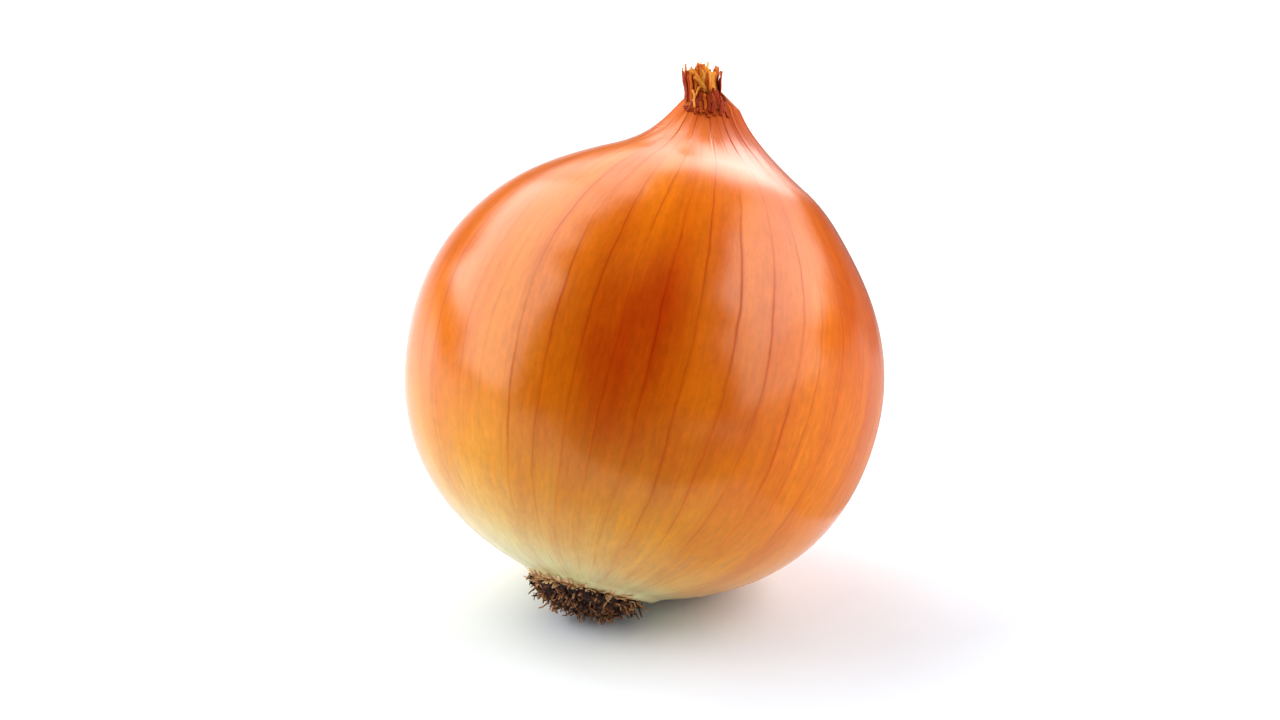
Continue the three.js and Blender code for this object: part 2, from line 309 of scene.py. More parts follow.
torn = side_waves(side_grid[:, -1], [8, 19, 37, 53], 0.006, 9)
rim_by_side = np.interp(np.degrees(side_grid[:, -1]) % 360, RIM_SIDES, RIM_RISE)
torn_along = along_grid + smooth(0.93, 1, along_grid) * (rim_by_side + torn)[:, None]
skin_points = skin_point(side_grid, torn_along, ridge_grid)
lip = skin_points[:, -1] * [LIP_NARROWS, LIP_NARROWS, 1] - [0, 0, LIP_DROP]
skin_points = np.concatenate([skin_points, lip[:, None]], 1)
rows = skin_points.shape[1]
column = np.arange(COLUMNS)[:, None] * rows
beside = (np.arange(COLUMNS)[:, None] + 1) % COLUMNS * rows
row = np.arange(rows - 1)
quads = np.stack([column + row, beside + row, beside + row + 1, column + row + 1], -1).reshape(-1, 4)
low_end, high_end = COLUMNS * rows, COLUMNS * rows + 1
fans = [(low_end, int(b), int(a)) for a, b in zip(column[:, 0], beside[:, 0])]
fans += [(high_end, int(a) + rows - 1, int(b) + rows - 1) for a, b in zip(column[:, 0], beside[:, 0])]
all_points = np.vstack([lay_down(skin_points.reshape(-1, 3)), lay_down(ENDS)])
skin = new_object("skin", all_points, quads.tolist() + fans)
print("skin:", len(skin.data.polygons), "faces")

# %% [markdown]
# What the skin knows of itself
#
# The skin's finish has to follow the veins, so it can't be laid on from outside. Each point keeps
# where it is on the skin: two numbers that go round with the veins, so there is no seam, and a third
# that counts millimetres from the roots. It also keeps how dark the vein is there, how ripe the skin
# is, from the cream at the roots to the brown at the neck, how much of a red blush lies on it, and how
# much painted shade darkens it at two rims. Those two are soft patches, each a centre and a spread.

# %% Keep the skin's own coordinates
def for_all_points(grid, at_roots, at_neck):
    """A value for each point: the grid's, the last row's once more for the lip, and the two ends'."""
    return np.r_[np.concatenate([grid, grid[:, -1:]], 1).ravel(), at_roots, at_neck]


def patches(spots):
    """How strong soft patches are over the grid. Where two lie over each other, the stronger counts."""
    strength = np.zeros(side_grid.shape)
    for centre, up, wide, tall, much in spots:
        away = (np.degrees(side_grid) - centre + 180) % 360 - 180
        fall = np.exp(-((away / wide) ** 2) - ((along_grid - up) / tall) ** 2)
        strength = np.maximum(strength, much * fall)
    return strength


flow_side = 2 * math.pi * (wanted + 0.5)[:, None] / VEINS
flow = np.stack(np.broadcast_arrays(WIDEST * np.cos(flow_side), WIDEST * np.sin(flow_side),
                                    along_grid * SKIN_LENGTH), -1)
flow = np.concatenate([flow, flow[:, -1:]], 1).reshape(-1, 3)
flow = np.vstack([flow, [[0, 0, 0], [0, 0, SKIN_LENGTH]]])
store(skin.data, "flow", flow, "FLOAT_VECTOR")
store(skin.data, "vein", for_all_points(vein_grid, 0, 0))

# %% Say where the skin is blushed, darkened by painted shade, and ripe
BLUSHES = [  # side in degrees, share of the outline, spread both ways, strength
    (-95, 0.48, 15.5, 0.17, 1.1), (60, 0.5, 30, 0.25, 0.7), (168, 0.55, 26, 0.2, 0.6),
    (-32, 0.6, 24, 0.3, 0.3), (-55, 0.5, 11, 0.3, 0.3), (-70, 0.4, 12, 0.08, 0.45),
    (-38, 0.22, 22, 0.1, 0.28)]
# Painted shade: these two patches darken the colour at the right rim and at the back-left rim, in place
# of shade that the lights don't give there.
PAINTED_RIM_SHADE = [(-8, 0.78, 30, 0.3, 1), (-178, 0.82, 22, 0.16, 1)]
store(skin.data, "blush", for_all_points(patches(BLUSHES), 0, 0))
store(skin.data, "tan", for_all_points(patches(PAINTED_RIM_SHADE), 0, 0))
ripeness = along_grid + 0.07 * np.cos(side_grid + 0.35) * smooth(0, 0.1, along_grid)
store(skin.data, "ripeness", for_all_points(ripeness, 0, 1))
print("the skin keeps:", [a.name for a in skin.data.attributes if not a.is_internal])

# %% [markdown]
# The skin's finish
#
# The dry outer leaf of an onion is a thin, tough, papery sheet, smooth to the touch and a little
# shiny from its wax. Its colour comes from tannins: orange to red-brown in the light, golden low
# down, and nearly cream over the roots, where the leaf was never in the sun. Fine fibres run with the
# veins and break the shine into streaks. A photograph could be wrapped round, but noise that is
# drawn out along the skin's own coordinates has no seam, and it stays sharp from close by.

# %% Helpers for finishes
def linear(hex_colour):
    """An sRGB hex colour as the linear numbers that a shader wants."""
    parts = [int(hex_colour[i:i + 2], 16) / 255 for i in (1, 3, 5)]
    return (*[c / 12.92 if c <= 0.04045 else ((c + 0.055) / 1.055) ** 2.4 for c in parts], 1)


def add(tree, kind, inputs=None, **settings):
    """Adds a node, with its settings, and with a value or a link for each input that is named."""
    node = tree.nodes.new(kind)
    for name, value in settings.items():
        setattr(node, name, value)
    for name, value in (inputs or {}).items():
        if isinstance(value, bpy.types.NodeSocket):
            tree.links.new(value, node.inputs[name])
        else:
            node.inputs[name].default_value = value
    return node


def fill_ramp(ramp, stops):
    """Sets a colour ramp's stops from (place, hex colour) pairs."""
    while len(ramp.color_ramp.elements) < len(stops):
        ramp.color_ramp.elements.new(0.5)
    for element, (place, colour) in zip(ramp.color_ramp.elements, stops):
        element.position = place
        element.color = linear(colour)


def new_material(name):
    """A material, its tree and its shader."""
    material = bpy.data.materials.new(name)
    material.use_nodes = True
    tree = material.node_tree
    return material, tree, tree.nodes["Principled BSDF"]


# %% Dry onion skin, grown and dried: its colour zones
# To the eye: smooth, warm and even from far away, streaky and papery from near by.
# Real fibres are 0.1 mm apart, too fine to show, so they are drawn 0.8 mm apart and 17 mm long.
FIBRES_PER_MM, FIBRE_STRETCH = 1.3, 0.045
BANDS_PER_MM, BAND_STRETCH = 0.12, 0.3  # blotches 8 mm wide
skin_finish, tree, shader = new_material("dry_onion_skin")
flow_in = add(tree, "ShaderNodeAttribute", attribute_name="flow").outputs["Vector"]
vein_in = add(tree, "ShaderNodeAttribute", attribute_name="vein").outputs["Fac"]
blush_in = add(tree, "ShaderNodeAttribute", attribute_name="blush").outputs["Fac"]
# This one holds the painted shade at two rims.
rim_shade_in = add(tree, "ShaderNodeAttribute", attribute_name="tan").outputs["Fac"]
ripe_in = add(tree, "ShaderNodeAttribute", attribute_name="ripeness").outputs["Fac"]
streaky = add(tree, "ShaderNodeMapping", {"Vector": flow_in, "Scale": (1, 1, FIBRE_STRETCH)})
fibres = add(tree, "ShaderNodeTexNoise", {
    "Vector": streaky.outputs[0], "Scale": FIBRES_PER_MM, "Detail": 3, "Roughness": 0.6})
broad = add(tree, "ShaderNodeMapping", {"Vector": flow_in, "Scale": (1, 1, BAND_STRETCH)})
bands = add(tree, "ShaderNodeTexNoise", {
    "Vector": broad.outputs[0], "Scale": BANDS_PER_MM, "Detail": 2})
ragged = add(tree, "ShaderNodeMath", {0: fibres.outputs["Fac"], 1: 0.08, 2: -0.04},
             operation="MULTIPLY_ADD")
share = add(tree, "ShaderNodeMath", {0: ripe_in, 1: ragged.outputs[0]}, operation="ADD")
zones = add(tree, "ShaderNodeValToRGB", {"Fac": share.outputs[0]})
fill_ramp(zones, [(0.0, "#DCD8A0"), (0.07, "#DEC884"), (0.14, "#E0AC54"), (0.24, "#E2920C"),
                  (0.36, "#DC7802"), (0.6, "#DC7202"), (0.8, "#DA7006"), (0.92, "#D46818"),
                  (1.0, "#B04C14")])

# %% [markdown]
# Over the zones lie a red-brown blush and, at two rims, a painted shade in dark brown. The zones'
# ramp can't hold them, because they lie on some sides only. So they are mixed in by the two numbers
# that each point keeps, and broad blotches of noise add a little more of the red here and there.

# %% Dry onion skin: blush and painted rim shade
# A colour Mix node takes its share as input 0 and its colours as 6 and 7. Output 2 is the mix.
redder = add(tree, "ShaderNodeMath", {0: bands.outputs["Fac"], 1: 1.1, 2: -0.42},
             operation="MULTIPLY_ADD", use_clamp=True)
red_share = add(tree, "ShaderNodeMath", {0: blush_in, 1: 0.75, 2: redder.outputs[0]},
                operation="MULTIPLY_ADD", use_clamp=True)
blushed = add(tree, "ShaderNodeMix", {
    0: red_share.outputs[0], 6: zones.outputs["Color"], 7: linear("#B03200")}, data_type="RGBA")
# Painted shade: where the rim patches lie, the colour is mixed towards dark brown.
rim_shaded = add(tree, "ShaderNodeMix", {0: rim_shade_in, 6: blushed.outputs[2], 7: linear("#A84408")},
             data_type="RGBA")

# %% [markdown]
# From near by the skin is fibrous paper. One sum of two noises makes the fibres lighter and darker
# and also raises them a little, so that colour and shine change on the same fibre.

# %% Dry onion skin: fibres and paper grain
# The paper's grain is too fine to show as well, and is drawn 0.9 mm wide.
GRAIN_PER_MM, GRAIN_STRETCH = 1.1, 0.4
light_part = add(tree, "ShaderNodeMath", {0: fibres.outputs["Fac"], 1: 0.4}, operation="MULTIPLY")
grain_map = add(tree, "ShaderNodeMapping", {"Vector": flow_in, "Scale": (1, 1, GRAIN_STRETCH)})
grain = add(tree, "ShaderNodeTexNoise", {
    "Vector": grain_map.outputs[0], "Scale": GRAIN_PER_MM, "Detail": 4, "Roughness": 0.7})
papery = add(tree, "ShaderNodeMath", {0: grain.outputs["Fac"], 1: 0.6, 2: light_part.outputs[0]},
             operation="MULTIPLY_ADD")
light_fibre = add(tree, "ShaderNodeMapRange", {
    "Value": papery.outputs[0], "From Min": 0.3, "From Max": 0.7, "To Min": 0.8, "To Max": 1.18})
fibred = add(tree, "ShaderNodeMix", {0: 1.0, 6: rim_shaded.outputs[2], 7: light_fibre.outputs[0]},
             data_type="RGBA", blend_type="MULTIPLY")
bump = add(tree, "ShaderNodeBump", {
    "Height": papery.outputs[0], "Strength": 0.5, "Distance": 0.06 * MM})
tree.links.new(bump.outputs[0], shader.inputs["Normal"])

# %% [markdown]
# The veins are real ridges already, and here they get their darker red. Between them run hair-thin
# lines that need no relief: the places where a drawn-out noise is just one half.

# %% Dry onion skin: veins
LINES_PER_MM, LINE_STRETCH, LINE_WIDTH = 0.3, 0.03, 0.012
line_map = add(tree, "ShaderNodeMapping", {"Vector": flow_in, "Scale": (1, 1, LINE_STRETCH)})
line_noise = add(tree, "ShaderNodeTexNoise", {
    "Vector": line_map.outputs[0], "Scale": LINES_PER_MM, "Detail": 1})
on_line = add(tree, "ShaderNodeMath", {0: line_noise.outputs["Fac"], 1: 0.5, 2: LINE_WIDTH},
              operation="COMPARE")
fine_line = add(tree, "ShaderNodeMath", {0: on_line.outputs[0], 1: 0.1}, operation="MULTIPLY")
all_lines = add(tree, "ShaderNodeMath", {0: vein_in, 1: fine_line.outputs[0]}, operation="MAXIMUM")
vein_share = add(tree, "ShaderNodeMath", {0: all_lines.outputs[0], 1: 0.7}, operation="MULTIPLY",
                 use_clamp=True)
veined = add(tree, "ShaderNodeMix", {
    0: vein_share.outputs[0], 6: fibred.outputs[2], 7: linear("#981800")}, data_type="RGBA")
tree.links.new(veined.outputs[2], shader.inputs["Base Color"])

# %% [markdown]
# The wax makes the skin satin, with a faintly warm shine. It has worn off the veins, and right below
# the neck the leaf is crumpled and dry, so there the shine dies away.

# %% Dry onion skin: shine
DRY_FROM, DULL_BY, ROUGH_BY = 97.6, 100.6, 104.5  # mm from the roots, along the skin
rough_lines = add(tree, "ShaderNodeMath", {0: all_lines.outputs[0], 1: 0.02, 2: 0.22},
                  operation="MULTIPLY_ADD")
up_skin = add(tree, "ShaderNodeSeparateXYZ", {0: flow_in}).outputs["Z"]
neck_rough = add(tree, "ShaderNodeMapRange", {
    "Value": up_skin, "From Min": DRY_FROM, "From Max": ROUGH_BY, "To Max": 0.5},
    interpolation_type="SMOOTHSTEP")
rough_all = add(tree, "ShaderNodeMath", {0: rough_lines.outputs[0], 1: neck_rough.outputs[0]},
                operation="ADD")
dull_vein = add(tree, "ShaderNodeMix", {
    0: vein_share.outputs[0], 6: linear("#FFF6E2"), 7: linear("#4A2A14")}, data_type="RGBA")
neck_dull = add(tree, "ShaderNodeMapRange", {
    "Value": up_skin, "From Min": DRY_FROM, "From Max": DULL_BY}, interpolation_type="SMOOTHSTEP")
tint = add(tree, "ShaderNodeMix", {
    0: neck_dull.outputs[0], 6: dull_vein.outputs[2], 7: linear("#9C6A3C")}, data_type="RGBA")
tree.links.new(rough_all.outputs[0], shader.inputs["Roughness"])
tree.links.new(tint.outputs[2], shader.inputs["Specular Tint"])
shader.inputs["IOR"].default_value = 1.45
skin.data.materials.append(skin_finish)
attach(skin, "root")
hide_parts("bulb")
print("the skin's finish has", len(tree.nodes), "nodes")

# %% [markdown]
# The torn neck
#
# Where the leaves once stood there is now a short stub: a bundle of dry leaf ends, torn to strips.
# Each strip could be modelled by hand, but they differ only in place, size and tilt. So Geometry
# Nodes make them: a table says where each strip has its foot, how long and wide it is and which way
# it leans, and the tree puts a sheet there, hollows, curls and tears it, and makes it as thick as a
# dry leaf. The tree works on an upright neck that starts at the origin, which keeps its numbers
# simple. Afterwards the finished mesh is bent and laid down.

# %% Helpers for trees
def new_tree(name, inputs):
    """A Geometry Nodes tree with named inputs: (name, socket kind, value)."""
    tree = bpy.data.node_groups.new(name, "GeometryNodeTree")
    tree.interface.new_socket("Geometry", in_out="INPUT", socket_type="NodeSocketGeometry")
    for socket_name, kind, value in inputs:
        socket = tree.interface.new_socket(socket_name, in_out="INPUT", socket_type=kind)
        if kind != "NodeSocketMaterial":
            socket.default_value = value
    tree.interface.new_socket("Geometry", in_out="OUTPUT", socket_type="NodeSocketGeometry")
    return tree, add(tree, "NodeGroupInput").outputs, add(tree, "NodeGroupOutput")


def run_tree(tree, base, values):
    """Runs a tree as a modifier on an object, with inputs set by name, and returns the plain mesh."""
    modifier = base.modifiers.new("nodes", "NODES")
    modifier.node_group = tree
    for item in tree.interface.items_tree:
        if item.in_out == "INPUT" and item.name in values:
            modifier[item.identifier] = values[item.name]
    graph = bpy.context.evaluated_depsgraph_get()
    made = bpy.data.meshes.new_from_object(base.evaluated_get(graph), preserve_all_data_layers=True,
                                           depsgraph=graph)
    base.modifiers.remove(modifier)
    return made


# %% A tree for torn strips: one sheet, shaped
# The sheet is 1 wide and 1 high, and each point keeps how far across and how far up it is.
strips, given, out = new_tree("torn_strips", [
    ("Taper", "NodeSocketFloat", 0.2), ("Hollow", "NodeSocketFloat", 0.45),
    ("Ribs", "NodeSocketFloat", 0.03), ("Curl", "NodeSocketFloat", 0.7 * MM),
    ("Torn", "NodeSocketFloat", 0.9), ("Thickness", "NodeSocketFloat", 0.15 * MM),
    ("Material", "NodeSocketMaterial", None)])
sheet = add(strips, "GeometryNodeMeshGrid", {
    "Size X": 1.0, "Size Y": 1.0, "Vertices X": 8, "Vertices Y": 13})
stood = add(strips, "GeometryNodeTransform", {
    "Geometry": sheet.outputs[0], "Translation": (0, 0, 0.5), "Rotation": (math.pi / 2, 0, 0)})
where = add(strips, "GeometryNodeInputPosition").outputs[0]
split = add(strips, "ShaderNodeSeparateXYZ", {0: where}).outputs
with_reach = add(strips, "GeometryNodeStoreNamedAttribute", {
    "Geometry": stood.outputs[0], "Name": "reach", "Value": split["Z"]}, data_type="FLOAT")
with_across = add(strips, "GeometryNodeStoreNamedAttribute", {
    "Geometry": with_reach.outputs[0], "Name": "across", "Value": split["X"]}, data_type="FLOAT")
hollow = add(strips, "ShaderNodeMath", {0: split["X"], 1: 2.0}, operation="POWER")
hollow_deep = add(strips, "ShaderNodeMath", {0: hollow.outputs[0], 1: given["Hollow"]},
                  operation="MULTIPLY")
rib_turn = add(strips, "ShaderNodeMath", {0: split["X"], 1: 6 * math.pi}, operation="MULTIPLY")
rib_wave = add(strips, "ShaderNodeMath", {0: rib_turn.outputs[0]}, operation="COSINE")
depth = add(strips, "ShaderNodeMath", {
    0: rib_wave.outputs[0], 1: given["Ribs"], 2: hollow_deep.outputs[0]}, operation="MULTIPLY_ADD")
reach_squared = add(strips, "ShaderNodeMath", {0: split["Z"], 1: 2.0}, operation="POWER")
narrow = add(strips, "ShaderNodeMath", {0: reach_squared.outputs[0], 1: given["Taper"]},
             operation="MULTIPLY")
narrow_by = add(strips, "ShaderNodeMath", {0: narrow.outputs[0], 1: split["X"]},
                operation="MULTIPLY")
pull_in = add(strips, "ShaderNodeMath", {0: narrow_by.outputs[0], 1: -1.0}, operation="MULTIPLY")
shape = add(strips, "ShaderNodeCombineXYZ", {0: pull_in.outputs[0], 1: depth.outputs[0]})
shaped = add(strips, "GeometryNodeSetPosition", {
    "Geometry": with_across.outputs[0], "Offset": shape.outputs[0]})

# %% [markdown]
# Each foot is a point that keeps its turn and its size, and the tree sets a copy of the sheet there
# by them. Copies can't be bent one by one while they are instances, so they are made real first.
# Then noise curls them, more and more towards their tips.

# %% Stand a sheet on each foot and curl it
turn_in = add(strips, "GeometryNodeInputNamedAttribute", {"Name": "turn"}, data_type="FLOAT_VECTOR")
size_in = add(strips, "GeometryNodeInputNamedAttribute", {"Name": "size"}, data_type="FLOAT_VECTOR")
placed = add(strips, "GeometryNodeInstanceOnPoints", {
    "Points": given["Geometry"], "Instance": shaped.outputs[0], "Rotation": turn_in.outputs[0],
    "Scale": size_in.outputs[0]})
real = add(strips, "GeometryNodeRealizeInstances", {"Geometry": placed.outputs[0]})
reach = add(strips, "GeometryNodeInputNamedAttribute", {"Name": "reach"}, data_type="FLOAT").outputs[0]
curl_noise = add(strips, "ShaderNodeTexNoise", {"Vector": where, "Scale": 0.42 / MM, "Detail": 1.0})
centred = add(strips, "ShaderNodeVectorMath", {0: curl_noise.outputs["Color"], 1: (0.5, 0.5, 0.5)},
              operation="SUBTRACT")
curl_size = add(strips, "ShaderNodeMath", {0: reach, 1: given["Curl"]}, operation="MULTIPLY")
curl = add(strips, "ShaderNodeVectorMath", {0: centred.outputs[0], "Scale": curl_size.outputs[0]},
           operation="SCALE")
curled = add(strips, "GeometryNodeSetPosition", {
    "Geometry": real.outputs[0], "Offset": curl.outputs[0]})

# %% [markdown]
# A dry leaf tears lengthwise, along its fibres. So the noise that says how far down each strip is
# torn hardly changes with height: it is read at a place whose height is pressed together. All points
# above the torn line go, and what is left gets a back and an edge.

# %% Tear the strips and make them thick
TEAR_STRETCH = 0.15
tear_place = add(strips, "ShaderNodeVectorMath", {0: where, 1: (1, 1, TEAR_STRETCH)},
                 operation="MULTIPLY")
tear_noise = add(strips, "ShaderNodeTexNoise", {
    "Vector": tear_place.outputs[0], "Scale": 1.1 / MM, "Detail": 1.0})
tear_drop = add(strips, "ShaderNodeMath", {0: tear_noise.outputs["Fac"], 1: given["Torn"]},
                operation="MULTIPLY")
tear_line = add(strips, "ShaderNodeMath", {0: 1.4, 1: tear_drop.outputs[0]}, operation="SUBTRACT")
torn_off = add(strips, "FunctionNodeCompare", {0: reach, 1: tear_line.outputs[0]},
               data_type="FLOAT", operation="GREATER_THAN")
cut = add(strips, "GeometryNodeDeleteGeometry", {
    "Geometry": curled.outputs[0], "Selection": torn_off.outputs[0]}, domain="POINT")
flipped = add(strips, "GeometryNodeFlipFaces", {"Mesh": cut.outputs[0]})
pulled = add(strips, "GeometryNodeExtrudeMesh", {
    "Mesh": cut.outputs[0], "Offset Scale": given["Thickness"], "Individual": False})
both = add(strips, "GeometryNodeJoinGeometry")
strips.links.new(pulled.outputs[0], both.inputs[0])
strips.links.new(flipped.outputs[0], both.inputs[0])
welded = add(strips, "GeometryNodeMergeByDistance", {"Geometry": both.outputs[0], "Distance": 1e-6})
clad = add(strips, "GeometryNodeSetMaterial", {
    "Geometry": welded.outputs[0], "Material": given["Material"]})
strips.links.new(clad.outputs[0], out.inputs[0])
print("the strip tree has", len(strips.nodes), "nodes")

# %% [markdown]
# Tables of strips
#
# A row of the table is one strip: its side, how far it leans out and tilts sideways, where its foot
# is, its length and width, and its tone, from dark maroon at 0 to straw yellow at 1. Most rows come
# from a seeded rule that sets strips in a ring, each a little off its even place.

# %% Make rows, and strips from rows
def ring_of_strips(count, foot, up, length, width, lean, tone, seed, stray=6):
    """Rows for strips in a ring, each a little off its even place. Sizes in mm, angles in degrees."""
    draw = np.random.default_rng(seed)
    return [(360 * (i + draw.uniform(-0.3, 0.3)) / count, lean + draw.normal(0, stray),
             draw.normal(0, stray), foot * draw.uniform(0.92, 1.05), up,
             length * draw.uniform(0.78, 1.12), width * draw.uniform(0.7, 1.25),
             tone + draw.uniform(-0.3, 0.3)) for i in range(count)]


def all_rings(table):
    """The rows of several rings: each row of the table holds what ring_of_strips wants."""
    return [row for ring in table for row in ring_of_strips(*ring)]


def between(rows, start, end):
    """The rows whose side lies between two angles."""
    return [row for row in rows if start < row[0] < end]


def make_strips(rows, **inputs):
    """Strips as a mesh, from rows of: side, lean, tilt, foot radius, foot height, length, width, tone."""
    side, lean, tilt, foot, up, length, width, tone = np.array(rows, float).T
    side = np.radians(side)
    feet = np.stack([foot * np.cos(side), foot * np.sin(side), up], 1) * MM
    turn = np.stack([np.radians(lean), np.radians(tilt), side + math.pi / 2], 1)
    base = new_object("strip_feet", feet, [])
    store(base.data, "turn", turn, "FLOAT_VECTOR")
    store(base.data, "size", np.stack([width, width, length], 1) * MM, "FLOAT_VECTOR")
    store(base.data, "tone", np.clip(tone, 0, 1))
    made = run_tree(strips, base, inputs)
    bpy.data.objects.remove(base)
    return made


# %% [markdown]
# The finish of the torn leaves
#
# The finish of the strips is that of the same dry leaf, but older and thicker: maroon where it is
# doubled, orange-brown where it is thin, and straw yellow at the heart. Each strip carries its own
# tone, and lengthwise fibres darken it in lines. The wax is gone, so it is nearly matt.

# %% Dry leaf, torn: dull and fibrous to the eye
# Places on a strip are shares of its size. On a strip of 2 mm, 9 fibres are 0.2 mm wide each.
FIBRES_ACROSS, FIBRE_SHIFT, FIBRES_UP = 9, 30, 1.6
leaf_finish, tree, shader = new_material("dry_torn_leaf")
tone_in = add(tree, "ShaderNodeAttribute", attribute_name="tone").outputs["Fac"]
across_in = add(tree, "ShaderNodeAttribute", attribute_name="across").outputs["Fac"]
reach_in = add(tree, "ShaderNodeAttribute", attribute_name="reach").outputs["Fac"]
leaf_place = add(tree, "ShaderNodeCombineXYZ", {0: across_in, 1: tone_in, 2: reach_in})
leaf_map = add(tree, "ShaderNodeMapping", {
    "Vector": leaf_place.outputs[0], "Scale": (FIBRES_ACROSS, FIBRE_SHIFT, FIBRES_UP)})
leaf_fibres = add(tree, "ShaderNodeTexNoise", {
    "Vector": leaf_map.outputs[0], "Scale": 1.0, "Detail": 3}).outputs["Fac"]
leaf_tone = add(tree, "ShaderNodeMath", {0: leaf_fibres, 1: 1.1, 2: -0.52}, operation="MULTIPLY_ADD")
leaf_sum = add(tree, "ShaderNodeMath", {0: leaf_tone.outputs[0], 1: tone_in}, operation="ADD",
               use_clamp=True)
leaf_colour = add(tree, "ShaderNodeValToRGB", {"Fac": leaf_sum.outputs[0]})
fill_ramp(leaf_colour, [(0.0, "#801A00"), (0.25, "#A03806"), (0.5, "#C86418"), (0.75, "#E28A30"),
                        (1.0, "#EEC062")])
leaf_bump = add(tree, "ShaderNodeBump", {"Height": leaf_fibres, "Strength": 0.6, "Distance": 0.1 * MM})
tree.links.new(leaf_colour.outputs["Color"], shader.inputs["Base Color"])
tree.links.new(leaf_bump.outputs[0], shader.inputs["Normal"])
shader.inputs["Roughness"].default_value = 0.6
shader.inputs["Specular IOR Level"].default_value = 0.2
shader.inputs["Specular Tint"].default_value = linear("#FFB070")
print("the finish of the leaves has", len(tree.nodes), "nodes")

# %% [markdown]
# Putting the neck on
#
# The upright neck is bent over to its side and set on the bulb. Node trees leave faces turned either
# way where a strip is doubled, so when the mesh is joined its faces are all turned outwards. The same
# function later joins the roots.

# %% Bend, place and join
NECK_FOOT = 77.6  # height in mm
NECK_BEND = math.radians(14)
NECK_BEND_SIDE = math.radians(178)
NECK_LENGTH = 5
NECK_SHIFT = 1.35  # mm to -X


def place_neck(points):
    """Bends an upright neck over to its side, more and more up to its length, and lays it down."""
    points = points / MM
    hinge = (-math.sin(NECK_BEND_SIDE), math.cos(NECK_BEND_SIDE), 0)
    bent = turned(points, hinge, NECK_BEND * np.clip(points[:, 2] / NECK_LENGTH, 0, 1))
    return lay_down(bent + [-NECK_SHIFT, 0, NECK_FOOT])


def joined(name, parts):
    """One object of (mesh, place) pairs. place moves the mesh's points. Faces are turned outwards."""
    whole = bmesh.new()
    for mesh, place in parts:
        points = np.empty(len(mesh.vertices) * 3, np.float32)
        mesh.vertices.foreach_get("co", points)
        moved = place(points.reshape(-1, 3).astype(float))
        mesh.vertices.foreach_set("co", moved.ravel().astype(np.float32))
        whole.from_mesh(mesh)
    bmesh.ops.recalc_face_normals(whole, faces=whole.faces)
    made = bpy.data.meshes.new(name)
    whole.to_mesh(made)
    whole.free()
    for material in parts[0][0].materials:
        made.materials.append(material)
    made.shade_smooth()
    obj = bpy.data.objects.new(name, made)
    bpy.context.scene.collection.objects.link(obj)
    for mesh, place in parts:
        bpy.data.meshes.remove(mesh)
    return obj


# %% [markdown]
# The strips that stand out in the photograph are set down one by one. Round the foot of the neck, on
# the side that we see, lies an apron of short dark shreds, and each has to lie on the skin. So its foot
# is moved out or in along its side until it meets the skin's outline at that height. Six strips at
# the back and three rings inside fill the bundle, and a ring of short shreds hides its foot.

# %% Build the neck
SEEN_STRIPS = [  # side, lean, tilt, foot radius, foot height, length, width, tone
    (-172, -1, 0, 2.75, 0.2, 6.4, 2.2, 0.04), (-146, -2, 2, 2.7, 0.2, 6.3, 2.0, 0.12),
    (-120, -1, 2, 2.75, 0, 6.6, 1.9, 0.16), (-92, -1, -2, 2.75, 0, 6.9, 2.3, 0.5),
    (-50, -2, 0, 2.7, 0, 6.8, 2.3, 0.7), (-18, -3, 2, 2.7, 0.6, 6.4, 2.3, 0.58),
    (-80, -8, -30, 2.9, 3.2, 4.0, 0.8, 0.75), (-70, -6, -44, 2.95, 3.0, 3.2, 0.7, 0.7),
    (-94, -5, 16, 2.8, 3.6, 3.3, 0.7, 0.8), (-112, -4, 30, 2.7, 4.2, 2.6, 0.7, 0.6),
    (-58, 2, 4, 3.1, -0.4, 4.4, 1.8, 0.0), (-40, 2, 0, 3.1, -0.2, 3.8, 1.6, 0.05),
    (-122, -20, 18, 4.5, -0.2, 4.2, 0.35, 0.72), (-104, -34, -16, 5.3, -0.1, 4.2, 0.35, 0.7),
    (-130, 0, 3, 3.0, 1.0, 5.2, 0.4, 0.5), (-68, 2, 6, 3.1, 1.4, 4.6, 0.4, 0.7),
    (-108, 1, -3, 3.0, 0.4, 5.4, 0.35, 0.45), (-78, 1, 3, 3.0, 0.2, 5.0, 0.4, 0.15)]
BACK_RING = (12, 2.7, 0.3, 6.3, 2.1, -2, 0.35, 21)  # as for ring_of_strips
INNER_RINGS = [(9, 2.0, 0, 6.9, 1.8, -1, 0.4, 12), (7, 1.3, 0, 7.2, 1.7, 0, 0.55, 13),
               (5, 0.6, 0, 7.4, 1.5, 0, 0.75, 14)]
FOOT_RING = (14, 3.0, -0.5, 2.2, 1.2, -4, 0.15, 15)
LOW_APRON = (90, 6.1, -0.8, 3.9, 0.5, -44, 0.02, 31, 7)
HIGH_APRON = (80, 5.6, -0.1, 3.2, 0.55, -42, 0.06, 32, 7)
OFF_SKIN = 0.08  # mm


def onto_skin(rows):
    """The same rows, with each foot moved along its own side until it lies on the skin."""
    draw = np.random.default_rng(33)
    moved = []
    for side, lean, tilt, foot, up, *rest in rows:
        up = up + draw.uniform(-0.7, 0.5)
        height = NECK_FOOT + up
        radius = np.interp(height, outline[:, 1], outline[:, 0]) + OFF_SKIN
        apart = NECK_SHIFT + neck_swell(height)
        turn = math.radians(side)
        foot = apart * math.cos(turn) + math.sqrt(radius**2 - (apart * math.sin(turn)) ** 2)
        moved.append((side, lean, tilt, foot, up, *rest))
    return moved


apron = between(ring_of_strips(*LOW_APRON), 246, 284)
apron += between(ring_of_strips(*HIGH_APRON), 230, 308)
neck_rows = SEEN_STRIPS + onto_skin(apron) + ring_of_strips(*BACK_RING)[:6]
neck_rows += all_rings(INNER_RINGS) + ring_of_strips(*FOOT_RING)
neck_mesh = make_strips(neck_rows, Taper=0.1, Curl=1.1 * MM, Torn=0.78, Thickness=0.14 * MM,
                        Material=leaf_finish)
neck = joined("neck_leaves", [(neck_mesh, place_neck)])
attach(neck, "root")
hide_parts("neck")
print("neck:", len(neck_rows), "strips,", len(neck.data.polygons), "faces")

